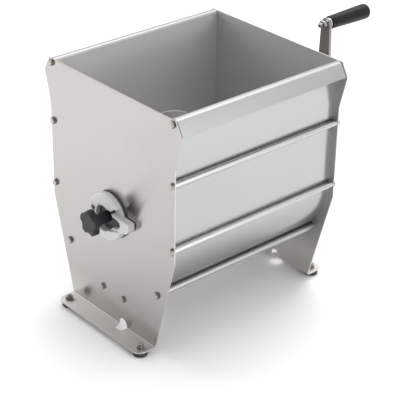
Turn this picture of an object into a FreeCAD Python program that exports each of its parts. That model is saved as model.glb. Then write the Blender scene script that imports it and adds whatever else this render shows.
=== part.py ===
import FreeCAD, Part
import math
import os
import Sketcher
from FreeCAD import Vector, Rotation, Placement

# Hand-cranked meat mixer: an open U-shaped tank between two folded end plates,
# a paddle on a level shaft, a gear case at the back with a crank, and a
# bayonet cap with a clamp knob at the front.
#
# Frame: +X to the right, +Y from the front plate to the crank, +Z up.
# z = 0 is the plane under the feet; the origin is the middle of the base.

doc = FreeCAD.newDocument("meat_mixer")
sheet = doc.addObject("Spreadsheet::Sheet", "dims")

TABLE = [
    # tank and end plates
    ("tank_half", 165.0, "half length over the end plates"),
    ("y_shift", 45.5, "middle of the whole length, from the middle of the tank"),
    ("plate_thk", 2.0, "end plate sheet"),
    ("rim_top", 404.5, "top of the plates and of the folded rim"),
    ("top_half", 146.0, "half width of the top edge"),
    ("ear_half", 158.8, "half width at the ears"),
    ("ear_z", 382.6, "height of the ears"),
    ("waist_half", 146.0, "half width of the waist"),
    ("waist_top", 329.5, "waist, upper end"),
    ("waist_low", 174.5, "waist, lower end"),
    ("base_half", 103.0, "half width at the bend"),
    ("base_cut", 5.0, "height where the sides turn upright"),
    ("flange_low", 9.0, "underside of the foot flange"),
    ("flange_deep", 33.0, "depth of the foot flange"),
    ("flange_end", 14.0, "corner radius of the foot flange"),
    ("bend_in", 1.5, "inner bend radius of the plates"),
    ("vent_x", 24.5, "hole in the bend, offset"),
    ("vent_rise", 2.5, "its middle in the plate, above the flange"),
    ("vent_out", 4.5, "its middle in the flange, out from the plate"),
    ("vent_size", 9.5, "hole in the bend, radius"),
    # wrapper
    ("axis_z", 197.0, "height of the paddle shaft"),
    ("wrap_out", 135.5, "outer radius of the wrapper"),
    ("wrap_thk", 1.5, "wrapper sheet"),
    ("lip_inset", 0.4, "lip behind the edge of the plates"),
    ("lip_gap", 1.6, "gap between lip and plates"),
    ("fold_in", 4.0, "bend radius at the inner edge of the rim"),
    ("fold_out", 8.0, "bend radius at the outer edge of the rim"),
    # tie rods and their screws
    ("rod_size", 5.0, "radius of a tie rod"),
    ("rod_half", 140.7, "tie rods, distance from the middle plane or the shaft axis"),
    ("rod_one", 397.9, "height of the top tie rods"),
    ("rod_two", 302.0, "height of the second tie rods"),
    ("rod_three", 195.5, "height of the third tie rods"),
    ("rod_four", -40.5, "angle of the fourth tie rods"),
    ("rod_five", -79.7, "angle of the fifth tie rods"),
    ("bolt_size", 3.0, "radius of a tie screw"),
    ("bolt_hex", 5.75, "half width over corners of its head"),
    ("bolt_head", 4.0, "height of its head"),
    ("bolt_long", 16.0, "length of its shank"),
    # feet
    ("foot_x", 90.0, "feet, sideways"),
    ("foot_y", 18.5, "feet, out from the plate"),
    ("foot_size", 12.0, "radius of a foot"),
    ("stud_size", 3.0, "radius of a foot stud"),
    ("stud_top", 20.0, "top of a foot stud"),
    # front cap, knob and pivot
    ("cap_size", 38.5, "radius of the cap"),
    ("cap_face", 13.0, "cap, flat of the wing in front of the plate"),
    ("cap_dome", 17.0, "cap, crown in front of the plate"),
    ("spigot_size", 22.5, "radius of the bayonet spigot"),
    ("lug_reach", 28.0, "reach of the bayonet lugs"),
    ("wing_reach", 57.2, "finger wing, its end"),
    ("cap_recess", 21.0, "radius of the round recess in the cap"),
    ("cap_floor", 2.0, "floor of the recess, in front of the plate"),
    ("cap_slot", 4.4, "floor of the slot in the wing, in front of the plate"),
    ("insert_front", 6.0, "front of the insert's flange, from the plate"),
    ("seal_in", 31.0, "inner radius of the seal behind the cap"),
    ("seal_out", 36.8, "outer radius of the seal"),
    ("seal_deep", 3.2, "front of the seal, from the plate"),
    ("insert_size", 8.0, "radius of the insert's stem"),
    ("pivot_size", 5.0, "radius of the pivot screw"),
    ("knob_size", 20.3, "radius over the lobes"),
    ("knob_front", 44.5, "front of the knob, from the plate"),
    ("knob_back", 33.0, "back of the lobes, from the plate"),
    ("knob_neck", 9.0, "radius of the knob's neck"),
    # paddle
    ("shaft_size", 12.5, "radius of the paddle shaft"),
    ("shaft_front", -156.0, "front end of the paddle shaft"),
    ("shaft_back", 150.0, "rear end of the paddle shaft"),
    ("blade_reach", 127.0, "reach of the blades"),
    ("blade_root", 64.0, "inner edge of the blades"),
    ("blade_wide", 78.0, "width of a blade"),
    ("blade_thk", 3.0, "blade plate"),
    ("blade_turn", 145.0, "turn of a blade about its arm"),
    ("blade_round", 60.0, "radius of a blade's tip edge"),
    ("arm_size", 7.0, "radius of a paddle arm"),
    # gear case
    ("gear_mod", 2.5, "gear module"),
    ("gear_teeth", 54, "teeth of the large gear"),
    ("pinion_teeth", 20, "teeth of the pinion"),
    ("crank_x", 65.0, "crank axis, sideways from the paddle shaft"),
    ("crank_rise", 65.812, "crank axis, above the paddle shaft"),
    ("case_big", 86.0, "gear case radius round the large gear"),
    ("case_small", 43.5, "gear case radius round the pinion"),
    ("case_lip", 8.0, "width of the cover's flange"),
    ("case_plate", 6.0, "gear plate"),
    ("case_deep", 23.0, "front of the cover, from the rear plate"),
    ("case_thk", 2.0, "cover sheet"),
    ("gear_start", 7.0, "gears, from the rear plate"),
    ("gear_wide", 12.0, "face width of the gears"),
    ("drive_size", 10.0, "radius of the drive shaft"),
    ("housing_size", 22.0, "radius of the rear bearing spigot"),
    ("bush_size", 14.0, "outer radius of the rear bush"),
    # crank
    ("crank_reach", 166.7, "crank radius"),
    ("arm_front", 43.5, "front of the crank arm, from the rear plate"),
    ("arm_thk", 5.5, "crank arm bar"),
    ("arm_low", 15.0, "end radius of the arm at its shaft"),
    ("arm_high", 9.2, "end radius of the arm at the grip"),
    ("grip_near", 10.5, "grip radius next to the arm"),
    ("grip_far", 12.2, "grip radius at its end"),
    ("grip_start", 51.6, "grip, from the rear plate"),
    ("grip_end", 135.5, "end of the grip, from the rear plate"),
    ("grip_stud", 4.0, "radius of the grip stud"),
    ("running", 0.06, "radial running clearance"),
]
for row, (alias, value, note) in enumerate(TABLE, 1):
    sheet.set("A%d" % row, note)
    sheet.set("B%d" % row, repr(value))
    sheet.setAlias("B%d" % row, alias)
doc.recompute()


class Q:
    """A dimension: its value, and the sheet expression that gives it."""

    def __init__(self, value, text):
        self.v = float(value)
        self.s = text

    def __add__(self, other):
        other = q(other)
        return Q(self.v + other.v, "(%s + %s)" % (self.s, other.s))

    def __radd__(self, other):
        return q(other) + self

    def __sub__(self, other):
        other = q(other)
        return Q(self.v - other.v, "(%s - %s)" % (self.s, other.s))

    def __rsub__(self, other):
        return q(other) - self

    def __mul__(self, other):
        other = q(other)
        return Q(self.v * other.v, "(%s * %s)" % (self.s, other.s))

    def __rmul__(self, other):
        return q(other) * self

    def __truediv__(self, other):
        other = q(other)
        return Q(self.v / other.v, "(%s / %s)" % (self.s, other.s))

    def __neg__(self):
        return Q(-self.v, "(0 - %s)" % self.s)


def q(value):
    if isinstance(value, Q):
        return value
    if value < 0:
        return Q(value, "(0 - %r)" % float(-value))
    return Q(value, "%r" % float(value))


def cosd(a):
    a = q(a)
    return Q(math.cos(math.radians(a.v)), "cos(%s)" % a.s)


def sind(a):
    a = q(a)
    return Q(math.sin(math.radians(a.v)), "sin(%s)" % a.s)


def hypo(a, b):
    a, b = q(a), q(b)
    return Q(math.hypot(a.v, b.v), "sqrt(%s * %s + %s * %s)" % (a.s, a.s, b.s, b.s))


D = {alias: Q(value, "dims.%s" % alias) for alias, value, note in TABLE}
PARTS = []          # (node name, object) in the order they are written


# ---------------------------------------------------------------- helpers
def bind(obj, prop, value):
    value = q(value)
    obj.setExpression(prop, value.s)


def place(obj, x=0, y=0, z=0, rot=None):
    """Puts an object at a point of the mixer, y counted from the middle of the tank."""
    x, y, z = q(x), q(y) - D["y_shift"], q(z)
    obj.Placement = Placement(Vector(x.v, y.v, z.v), rot or Rotation())
    for axis, value in (("x", x), ("y", y), ("z", z)):
        obj.setExpression("Placement.Base.%s" % axis, value.s)


def local(obj, x=0, y=0, z=0, rot=None):
    """The same without the shift, for pieces of a compound that is placed as a whole."""
    x, y, z = q(x), q(y), q(z)
    obj.Placement = Placement(Vector(x.v, y.v, z.v), rot or Rotation())
    for axis, value in (("x", x), ("y", y), ("z", z)):
        obj.setExpression("Placement.Base.%s" % axis, value.s)


TO_Y = Rotation(Vector(1, 0, 0), -90)        # turns +Z to +Y
TO_NEG_Y = Rotation(Vector(1, 0, 0), 90)     # turns +Z to -Y


def node(name, obj):
    obj.Label = name
    PARTS.append((name, obj))
    return obj


def new_body(name):
    return node(name, doc.addObject("PartDesign::Body", "Body_" + name))


def origin_plane(body, role):
    for feature in body.Origin.OriginFeatures:
        if feature.Role == role:
            return feature
    raise RuntimeError("no plane " + role)


def new_sketch(body, name, role, offset=None):
    sk = body.newObject("Sketcher::SketchObject", name)
    sk.AttachmentSupport = [(origin_plane(body, role), "")]
    sk.MapMode = "FlatFace"
    if offset is not None:
        offset = q(offset)
        sk.AttachmentOffset = Placement(Vector(0, 0, offset.v), Rotation())
        sk.setExpression("AttachmentOffset.Base.z", offset.s)
    return sk


def fix_point(sk, geo, pos, x, y):
    for kind, value in (("DistanceX", q(x)), ("DistanceY", q(y))):
        c = sk.addConstraint(Sketcher.Constraint(kind, geo, pos, value.v))
        sk.setExpression("Constraints[%d]" % c, value.s)


def outline(sk, points, arcs=None):
    """A closed outline; arcs maps a side's index to (centre x, centre y, radius, ccw)."""
    arcs = arcs or {}
    first = sk.GeometryCount
    n = len(points)
    pts = [(q(a), q(b)) for a, b in points]
    ends = []
    for i in range(n):
        a, b = pts[i], pts[(i + 1) % n]
        geo = first + i
        if i in arcs:
            cx, cy, radius, ccw = arcs[i]
            cx, cy, radius = q(cx), q(cy), q(radius)
            start, stop = (a, b) if ccw else (b, a)
            a0 = math.atan2(start[1].v - cy.v, start[0].v - cx.v)
            a1 = math.atan2(stop[1].v - cy.v, stop[0].v - cx.v)
            while a1 <= a0:
                a1 += 2 * math.pi
            circle = Part.Circle(Vector(cx.v, cy.v, 0), Vector(0, 0, 1), radius.v)
            sk.addGeometry(Part.ArcOfCircle(circle, a0, a1), False)
            ends.append((1, 2) if ccw else (2, 1))
        else:
            sk.addGeometry(Part.LineSegment(Vector(a[0].v, a[1].v, 0), Vector(b[0].v, b[1].v, 0)), False)
            ends.append((1, 2))
    for i in range(n):
        j = (i + 1) % n
        sk.addConstraint(Sketcher.Constraint("Coincident", first + i, ends[i][1], first + j, ends[j][0]))
    for i in range(n):
        if i in arcs and (i - 1) % n not in arcs:
            fix_point(sk, first + (i - 1) % n, 2, *pts[i])
        elif i in arcs:
            fix_point(sk, first + i, ends[i][0], *pts[i])
        else:
            fix_point(sk, first + i, 1, *pts[i])
    for i in arcs:
        (ax, ay), (bx, by) = pts[i], pts[(i + 1) % n]
        # both ends are fixed, so one coordinate of the centre fixes the arc
        across = abs(ax.v - bx.v) >= abs(ay.v - by.v)
        value = q(arcs[i][1 if across else 0])
        c = sk.addConstraint(Sketcher.Constraint("DistanceY" if across else "DistanceX", first + i, 3, value.v))
        sk.setExpression("Constraints[%d]" % c, value.s)


def ring(sk, x, y, radius):
    x, y, radius = q(x), q(y), q(radius)
    geo = sk.addGeometry(Part.Circle(Vector(x.v, y.v, 0), Vector(0, 0, 1), radius.v), False)
    fix_point(sk, geo, 3, x, y)
    c = sk.addConstraint(Sketcher.Constraint("Radius", geo, radius.v))
    sk.setExpression("Constraints[%d]" % c, radius.s)


def rectangle(sk, x0, y0, x1, y1):
    outline(sk, [(x0, y0), (x1, y0), (x1, y1), (x0, y1)])


def hull_of_two(sk, big, small, dx, dy):
    """Outline round a circle at the origin and a smaller one at (dx, dy)."""
    dx, dy = q(dx), q(dy)
    big, small = q(big), q(small)
    dist = hypo(dx, dy)
    theta = Q(math.degrees(math.atan2(dy.v, dx.v)), "atan2(%s; %s)" % (dy.s, dx.s))
    ratio = (big - small) / dist
    beta = Q(math.degrees(math.acos(ratio.v)), "acos(%s)" % ratio.s)
    up, low = theta + beta, theta - beta
    pts = [(big * cosd(up), big * sind(up)), (big * cosd(low), big * sind(low)),
           (dx + small * cosd(low), dy + small * sind(low)),
           (dx + small * cosd(up), dy + small * sind(up))]
    outline(sk, pts, {0: (0, 0, big, True), 2: (dx, dy, small, True)})


def pad(body, sk, length, reverse=False, midplane=False, name=None):
    f = body.newObject("PartDesign::Pad", name or (sk.Name + "_pad"))
    f.Profile = sk
    bind(f, "Length", length)
    f.Reversed = reverse
    f.Midplane = midplane
    body.Tip = f
    doc.recompute()
    return f


def pocket(body, sk, length, reverse=False, midplane=False):
    before = body.Shape.Volume
    f = body.newObject("PartDesign::Pocket", sk.Name + "_pocket")
    f.Profile = sk
    bind(f, "Length", length)
    f.Reversed = reverse
    f.Midplane = midplane
    body.Tip = f
    doc.recompute()
    if not body.Shape.Volume < before - 1e-3:
        raise RuntimeError("%s cuts nothing" % f.Name)
    return f


def revolve(body, sk):
    f = body.newObject("PartDesign::Revolution", sk.Name + "_rev")
    f.Profile = sk
    f.ReferenceAxis = (sk, ["V_Axis"])
    f.Angle = 360
    body.Tip = f
    doc.recompute()
    return f


def edges_where(shape, test):
    found = []
    for i, edge in enumerate(shape.Edges, 1):
        p0 = edge.valueAt(edge.FirstParameter)
        p1 = edge.valueAt(edge.LastParameter)
        mid = edge.valueAt((edge.FirstParameter + edge.LastParameter) / 2)
        if test(p0, p1, mid, edge):
            found.append("Edge%d" % i)
    return found


def along_y(x, z, tol=0.05):
    """Edges parallel to Y through (x, z), on either side of the middle plane."""
    x, z = q(x).v, q(z).v

    def test(p0, p1, mid, edge):
        return (abs(p0.x - p1.x) < 1e-6 and abs(p0.z - p1.z) < 1e-6 and abs(p0.y - p1.y) > 1
                and abs(abs(mid.x) - x) < tol and abs(mid.z - z) < tol)
    return test


def along_x(y, z, tol=0.05):
    y, z = q(y).v, q(z).v

    def test(p0, p1, mid, edge):
        return (abs(p0.y - p1.y) < 1e-6 and abs(p0.z - p1.z) < 1e-6 and abs(p0.x - p1.x) > 1
                and abs(mid.y - y) < tol and abs(mid.z - z) < tol)
    return test


def circle_at(y, radius, tol=0.05):
    y, radius = q(y).v, q(radius).v

    def test(p0, p1, mid, edge):
        return (hasattr(edge.Curve, "Radius") and abs(edge.Curve.Radius - radius) < tol
                and abs(mid.y - y) < tol)
    return test


def fillet(body, test, radius, kind="PartDesign::Fillet"):
    names = edges_where(body.Tip.Shape, test)
    if not names:
        raise RuntimeError("%s: no edge to round" % body.Label)
    base = body.Tip
    f = body.newObject(kind, "%s_%s_%d" % (body.Label, "round" if "Fillet" in kind else "bevel", len(body.Group)))
    f.Base = (base, names)
    bind(f, "Radius" if "Fillet" in kind else "Size", radius)
    body.Tip = f
    doc.recompute()
    return f


def polar(body, features, count, role_axis="Y_Axis"):
    f = body.newObject("PartDesign::PolarPattern", "%s_pattern_%d" % (body.Label, len(body.Group)))
    f.Originals = features
    for feature in body.Origin.OriginFeatures:
        if feature.Role == role_axis:
            f.Axis = (feature, [""])
    f.Angle = 360
    f.Occurrences = count
    body.Tip = f
    doc.recompute()
    return f


SERIAL = [0]


def serial(prefix):
    SERIAL[0] += 1
    return "%s_%03d" % (prefix, SERIAL[0])


def cyl(radius, length, x=0, y=0, z=0, rot=TO_Y):
    c = doc.addObject("Part::Cylinder", serial("cyl"))
    bind(c, "Radius", radius)
    bind(c, "Height", length)
    local(c, x, y, z, rot)
    return c


def cone(r1, r2, length, x=0, y=0, z=0, rot=TO_Y):
    c = doc.addObject("Part::Cone", serial("cone"))
    bind(c, "Radius1", r1)
    bind(c, "Radius2", r2)
    bind(c, "Height", length)
    local(c, x, y, z, rot)
    return c


def hexagon(corner, length, x=0, y=0, z=0, rot=TO_Y):
    h = doc.addObject("Part::Prism", serial("hex"))
    h.Polygon = 6
    bind(h, "Circumradius", corner)
    bind(h, "Height", length)
    local(h, x, y, z, rot)
    return h


def cube(lx, ly, lz, x=0, y=0, z=0, rot=None):
    b = doc.addObject("Part::Box", serial("box"))
    bind(b, "Length", lx)
    bind(b, "Width", ly)
    bind(b, "Height", lz)
    local(b, x, y, z, rot)
    return b


def fuse(*objs):
    f = doc.addObject("Part::MultiFuse", serial("fuse"))
    f.Shapes = list(objs)
    return f


def common(a, b):
    f = doc.addObject("Part::Common", serial("common"))
    f.Base = a
    f.Tool = b
    return f


def cut(a, b):
    f = doc.addObject("Part::Cut", serial("cut"))
    f.Base = a
    f.Tool = b
    return f


def group(name, master, spots):
    """One node of loose, equal pieces: links to a master at the given places."""
    links = []
    for x, y, z, rot in spots:
        link = doc.addObject("App::Link", serial("link"))
        link.LinkedObject = master
        link.LinkTransform = False
        local(link, x, y, z, rot)
        links.append(link)
    c = doc.addObject("Part::Compound", "Group_" + name)
    c.Links = links
    return node(name, c)


# ---------------------------------------------------------------- positions
crank_z = D["axis_z"] + D["crank_rise"]
grip_z = crank_z + D["crank_reach"]
front_face = -D["tank_half"]
rear_face = D["tank_half"]

top_spots = [(D["rod_half"], D["rod_one"])]
side_spots = [(D["rod_half"], D["rod_two"]), (D["rod_half"], D["rod_three"])]
low_spots = [(D["rod_half"] * cosd(D["rod_four"]), D["axis_z"] + D["rod_half"] * sind(D["rod_four"])),
             (D["rod_half"] * cosd(D["rod_five"]), D["axis_z"] + D["rod_half"] * sind(D["rod_five"]))]
all_spots = [(s * x if s > 0 else -x, z) for x, z in top_spots + side_spots + low_spots for s in (1, -1)]


# ---------------------------------------------------------------- end plates
def end_plate(name, back):
    """One folded end plate; local y = 0 is its outer face."""
    body = new_body(name)
    sk = new_sketch(body, name + "_sheet", "XZ_Plane")
    half = [(D["top_half"], D["rim_top"]), (D["ear_half"], D["ear_z"]), (D["waist_half"], D["waist_top"]),
            (D["waist_half"], D["waist_low"]),
            (D["base_half"], D["flange_low"] + D["base_cut"]), (D["base_half"], D["flange_low"])]
    pts = half + [(-x, z) for x, z in reversed(half)]
    outline(sk, pts)
    pad(body, sk, D["plate_thk"], reverse=not back)      # material on the tank side
    # foot flange, folded away from the tank
    out = 1 if back else -1
    sk = new_sketch(body, name + "_flange", "XY_Plane", D["flange_low"])
    inner = D["plate_thk"] * (-out)
    rectangle(sk, -D["base_half"], inner, D["base_half"], D["flange_deep"] * out)
    pad(body, sk, D["plate_thk"])
    fillet(body, lambda p0, p1, mid, e: abs(p0.z - p1.z) > 1 and abs(mid.y - D["flange_deep"].v * out) < 0.05,
           D["flange_end"])
    fillet(body, along_x(0, D["flange_low"] + D["plate_thk"]), D["bend_in"])
    fillet(body, along_x(inner, D["flange_low"]), D["bend_in"] + D["plate_thk"] - 0.2)
    # round hole across the bend: one cut in the sheet, one in the flange
    sk = new_sketch(body, name + "_vent_a", "XZ_Plane")
    ring(sk, D["vent_x"], D["flange_low"] + D["plate_thk"] + D["vent_rise"], D["vent_size"])
    pocket(body, sk, D["plate_thk"] * 2 + 1, midplane=True)
    sk = new_sketch(body, name + "_vent_b", "XY_Plane", D["flange_low"] - 0.5)
    ring(sk, D["vent_x"] + 1.8, D["vent_out"] * out, D["vent_size"])
    pocket(body, sk, D["plate_thk"] + 2.5, reverse=True)
    # tie screw holes
    sk = new_sketch(body, name + "_holes", "XZ_Plane")
    for x, z in all_spots:
        ring(sk, x, z, D["bolt_size"] + 0.2)
    pocket(body, sk, D["plate_thk"] * 3, midplane=True)
    # foot stud holes
    sk = new_sketch(body, name + "_feet", "XY_Plane", D["flange_low"] - 1)
    for side in (1, -1):
        ring(sk, D["foot_x"] * side, D["foot_y"] * out, D["stud_size"] + 0.2)
    pocket(body, sk, D["plate_thk"] + 2, reverse=True)
    return body


front_plate = end_plate("front_plate", False)
sk = new_sketch(front_plate, "bayonet_round", "XZ_Plane")
ring(sk, 0, D["axis_z"], D["spigot_size"] + 0.4)
pocket(front_plate, sk, D["plate_thk"] * 3, midplane=True)
sk = new_sketch(front_plate, "bayonet_slots", "XZ_Plane")
rectangle(sk, -(D["lug_reach"] + 1.6), D["axis_z"] - 8, D["lug_reach"] + 1.6, D["axis_z"] + 8)
pocket(front_plate, sk, D["plate_thk"] * 3, midplane=True)
place(front_plate, 0, front_face, 0)

rear_plate = end_plate("rear_plate", True)
sk = new_sketch(rear_plate, "bearing_hole", "XZ_Plane")
ring(sk, 0, D["axis_z"], D["housing_size"])
for a in (90, 210, 330):
    ring(sk, 27 * cosd(a), D["axis_z"] + 27 * sind(a), 2.5)
pocket(rear_plate, sk, D["plate_thk"] * 3, midplane=True)
place(rear_plate, 0, rear_face, 0)

# ---------------------------------------------------------------- wrapper
# One sheet: two upright walls, a half-round bottom about the shaft axis, and
# rims folded outwards over the top tie rods. Local z = 0 is the shaft axis.
wrapper = new_body("tank_wrapper")
sk = new_sketch(wrapper, "wrapper_profile", "XZ_Plane")
R, T = D["wrap_out"], D["wrap_thk"]
zt = D["rim_top"] - D["axis_z"]
ze = D["ear_z"] - D["axis_z"]
run_x, run_z = D["ear_half"] - D["top_half"], D["rim_top"] - D["ear_z"]
slope_len = hypo(run_x, run_z)
nx, nz = run_z / slope_len, run_x / slope_len          # outward normal of the lip
ux, uz = run_x / slope_len, run_z / slope_len          # down the lip
tx = D["top_half"] - D["lip_inset"] / nx               # where the inset lip line meets the rim top
lip = slope_len - 0.8
end_x, end_z = tx + ux * lip, zt - uz * lip
half_turn = Q(math.tan(0.5 * math.acos(ux.v)), "tan(acos(%s) / 2)" % ux.s)
half = [(R - T, 0), (R - T, zt), (tx, zt), (end_x, end_z),
        (end_x - nx * T, end_z - nz * T), (tx - T * half_turn, zt - T), (R, zt - T), (R, 0)]
pts = half + [(-x if isinstance(x, Q) else -x, z) for x, z in reversed(half)]
outline(sk, pts, {7: (0, 0, R, False), 15: (0, 0, R - T, True)})
pad(wrapper, sk, (D["tank_half"] - D["plate_thk"]) * 2, midplane=True)
fillet(wrapper, along_y(R, zt - T), D["fold_in"] - T)
fillet(wrapper, along_y(tx - T * half_turn, zt - T), D["fold_out"] - T)
fillet(wrapper, along_y(R - T, zt), D["fold_in"])
fillet(wrapper, along_y(tx, zt), D["fold_out"])
for side in (1, -1):
    for end in (1, -1):
        tag = ("r" if side > 0 else "l") + ("b" if end > 0 else "f")
        off = (D["tank_half"] - D["plate_thk"]) * (-end)
        sk = new_sketch(wrapper, "lip_gap_" + tag, "XZ_Plane", off)
        rectangle(sk, (R + 4) * side, zt - 30, 165 * side, zt + 2)
        pocket(wrapper, sk, D["lip_gap"] + 0.001, reverse=(end > 0))
place(wrapper, 0, 0, D["axis_z"])

# ---------------------------------------------------------------- tie rods
inside = (D["tank_half"] - D["plate_thk"]) * 2
bore = D["bolt_long"] - D["plate_thk"] + 1
rod = cut(cyl(D["rod_size"], inside, 0, -inside / 2, 0),
          fuse(cyl(D["bolt_size"], bore, 0, -inside / 2, 0), cyl(D["bolt_size"], bore, 0, inside / 2 - bore, 0)))
rod.Label = "tie_rod_master"
for name, spots in (("top_tie_rods", top_spots), ("side_tie_rods", side_spots), ("lower_tie_rods", low_spots)):
    g = group(name, rod, [(x if s > 0 else -x, 0, z, None) for x, z in spots for s in (1, -1)])
    place(g)

# hex screw: bevelled head outside the plate, shank through it into the rod
head = common(hexagon(D["bolt_hex"], D["bolt_head"], 0, 0, 0, TO_NEG_Y),
              cone(D["bolt_hex"] + 2.2, D["bolt_hex"] - 1.3, D["bolt_head"], 0, 0, 0, TO_NEG_Y))
bolt = fuse(head, cyl(D["bolt_size"], D["bolt_long"], 0, 0, 0))
bolt.Label = "tie_screw_master"
BACKWARD = Rotation(Vector(0, 0, 1), 180)
turns = [7, 41, 22, 55, 13, 36, 48, 2, 29, 18]
spots = []
for k, (x, z) in enumerate(all_spots):
    spots.append((x, front_face, z, Rotation(Vector(0, 1, 0), turns[k])))
place(group("front_tie_bolts", bolt, spots))
spots = []
for k, (x, z) in enumerate(all_spots):
    spots.append((x, rear_face, z, Rotation(Vector(0, 1, 0), turns[-k]).multiply(BACKWARD)))
place(group("rear_tie_bolts", bolt, spots))

# ---------------------------------------------------------------- feet
foot = new_body("foot_master")
PARTS.pop()
sk = new_sketch(foot, "foot_profile", "XZ_Plane")
outline(sk, [(D["stud_size"], 2.5), (D["stud_size"] + 4, 2.5), (D["stud_size"] + 4, 4), (D["stud_size"], 4),
             (D["stud_size"], D["flange_low"]), (D["foot_size"] - 1.0, D["flange_low"]),
             (D["foot_size"], D["flange_low"] - 1.2), (D["foot_size"] - 0.6, 0.8), (D["foot_size"] - 1.6, 0),
             (D["stud_size"], 0)])
rev = foot.newObject("PartDesign::Revolution", "foot_rev")
rev.Profile = sk
rev.ReferenceAxis = (sk, ["V_Axis"])
rev.Angle = 360
foot.Tip = rev
foot_spots = [(D["foot_x"] * a, (D["tank_half"] + D["foot_y"]) * b, 0, None) for b in (-1, 1) for a in (-1, 1)]
place(group("rubber_feet", foot, foot_spots))
stud = fuse(cyl(D["stud_size"], D["stud_top"] - 2.5 - 1, 0, 0, 2.5, Rotation()),
            cone(D["stud_size"], D["stud_size"] - 0.8, 1, 0, 0, D["stud_top"] - 1, Rotation()),
            cyl(D["stud_size"] + 4, 1.5, 0, 0, 2.5, Rotation()))
place(group("foot_studs", stud, foot_spots))
top_of_flange = D["flange_low"] + D["plate_thk"]
nut = cut(common(hexagon(5.75, 5, 0, 0, 0, Rotation()), cone(7.6, 4.9, 5, 0, 0, 0, Rotation())),
          cyl(D["stud_size"], 7, 0, 0, -1, Rotation()))
nut_spots = []
for k, (x, y, z, r) in enumerate(foot_spots):
    nut_spots.append((x, y, top_of_flange + 1.2, Rotation(Vector(0, 0, 1), 10 + 17 * k)))
place(group("foot_nuts", nut, nut_spots))
washer = cut(cyl(6.4, 1.2, 0, 0, 0, Rotation()), cyl(D["stud_size"], 3, 0, 0, -1, Rotation()))
place(group("foot_washers", washer, [(x, y, top_of_flange, None) for x, y, z, r in foot_spots]))

# ---------------------------------------------------------------- front cap
# Local origin: shaft axis at the front plate's outer face, -y towards the user.
cap = new_body("front_cap")
sk = new_sketch(cap, "cap_profile", "XY_Plane")
outline(sk, [(D["insert_size"], 7), (D["spigot_size"], 7), (D["spigot_size"], -0.2), (D["seal_in"], -0.2),
             (D["seal_in"], -D["seal_deep"]), (D["cap_size"], -D["seal_deep"]), (D["cap_size"], -(D["cap_dome"] - 3.2)),
             (24, -(D["cap_dome"] - 0.7)), (D["insert_size"], -D["cap_dome"])])
revolve(cap, sk)
fillet(cap, circle_at(-(D["cap_dome"] - 3.2), D["cap_size"]), 6.5)
# bayonet lugs behind the plate
sk = new_sketch(cap, "cap_lugs", "XZ_Plane", -(D["plate_thk"] + 0.5))
rectangle(sk, -7, -D["lug_reach"], 7, D["lug_reach"])
pad(cap, sk, 3.4, reverse=True)
# channel across the front, with the finger wing level with its floor
sk = new_sketch(cap, "cap_channel", "XZ_Plane", D["cap_face"])
outline(sk, [(-45, 19), (17, 19), (24, 24), (45, 24), (45, -7), (21.7, -14.7), (-5, -19.6), (-45, -19.6)])
pocket(cap, sk, 8, reverse=True)
sk = new_sketch(cap, "cap_notch", "XZ_Plane", D["seal_deep"] + 1.2)
outline(sk, [(14.5, 12), (45, 10.4), (45, 24), (24, 24), (17, 19), (14.5, 17)])
pocket(cap, sk, 20, reverse=True)
sk = new_sketch(cap, "cap_wing", "XZ_Plane", 1.5)
outline(sk, [(12, 12.8), (12, -17), (24, -14), (50, -8), (D["wing_reach"], -1), (D["wing_reach"], 10.2)])
pad(cap, sk, D["cap_face"] - 1.5)
fillet(cap, along_y(50, -8), 5.0)
fillet(cap, along_y(D["wing_reach"], -1), 4.0)
fillet(cap, along_y(D["wing_reach"], 10.2), 1.5)
sk = new_sketch(cap, "cap_seal_groove", "XZ_Plane", 0)
ring(sk, 0, 0, D["seal_out"] + 0.3)
ring(sk, 0, 0, D["seal_in"])
pocket(cap, sk, D["seal_deep"], reverse=True)
# round recess for the knob's neck, and the hole for the insert
sk = new_sketch(cap, "cap_recess", "XZ_Plane", D["cap_floor"])
ring(sk, 0, 0, D["cap_recess"])
pocket(cap, sk, 30, reverse=True)
# slot that carries the recess on into the wing
sk = new_sketch(cap, "cap_slot", "XZ_Plane", D["cap_slot"])
outline(sk, [(0, 9.2), (30, 7.6), (35.5, 5.5), (37, 1.5), (36, -3), (31, -7.5), (12, -11.5), (0, -13)])
pocket(cap, sk, 20, reverse=True)
sk = new_sketch(cap, "cap_bore", "XZ_Plane", 0)
ring(sk, 0, 0, D["insert_size"])
pocket(cap, sk, 60, midplane=True)
# seat of the small screw
sk = new_sketch(cap, "cap_screw_seat", "XZ_Plane", D["cap_face"] - 5)
ring(sk, -27.7, 5.4, 5.2)
pocket(cap, sk, 20, reverse=True)
sk = new_sketch(cap, "cap_screw_hole", "XZ_Plane", D["cap_face"] - 9)
ring(sk, -27.7, 5.4, 2.2)
pocket(cap, sk, 20, reverse=True)
place(cap, 0, front_face, D["axis_z"])

# insert that fills the recess and the slot, round the pivot screw
insert = new_body("cap_insert")
sk = new_sketch(insert, "insert_flange", "XZ_Plane", D["cap_floor"])
ring(sk, 0, 0, D["cap_recess"] - 0.4)
pad(insert, sk, D["insert_front"] - D["cap_floor"])
sk = new_sketch(insert, "insert_tongue", "XZ_Plane", D["cap_slot"] + 0.3)
outline(sk, [(0, 8.8), (29.9, 7.2), (35.1, 5.1), (36.5, 1.5), (35.5, -2.8), (30.7, -7.1), (12, -11.1), (0, -12.6)])
pad(insert, sk, D["insert_front"] - D["cap_slot"] - 0.3)
sk = new_sketch(insert, "insert_stem", "XZ_Plane", D["cap_floor"])
ring(sk, 0, 0, D["insert_size"])
pad(insert, sk, D["cap_floor"] + 7, reverse=True)
sk = new_sketch(insert, "insert_bore", "XZ_Plane", 0)
ring(sk, 0, 0, D["pivot_size"] + D["running"])
pocket(insert, sk, 60, midplane=True)
place(insert, 0, front_face, D["axis_z"])
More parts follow.
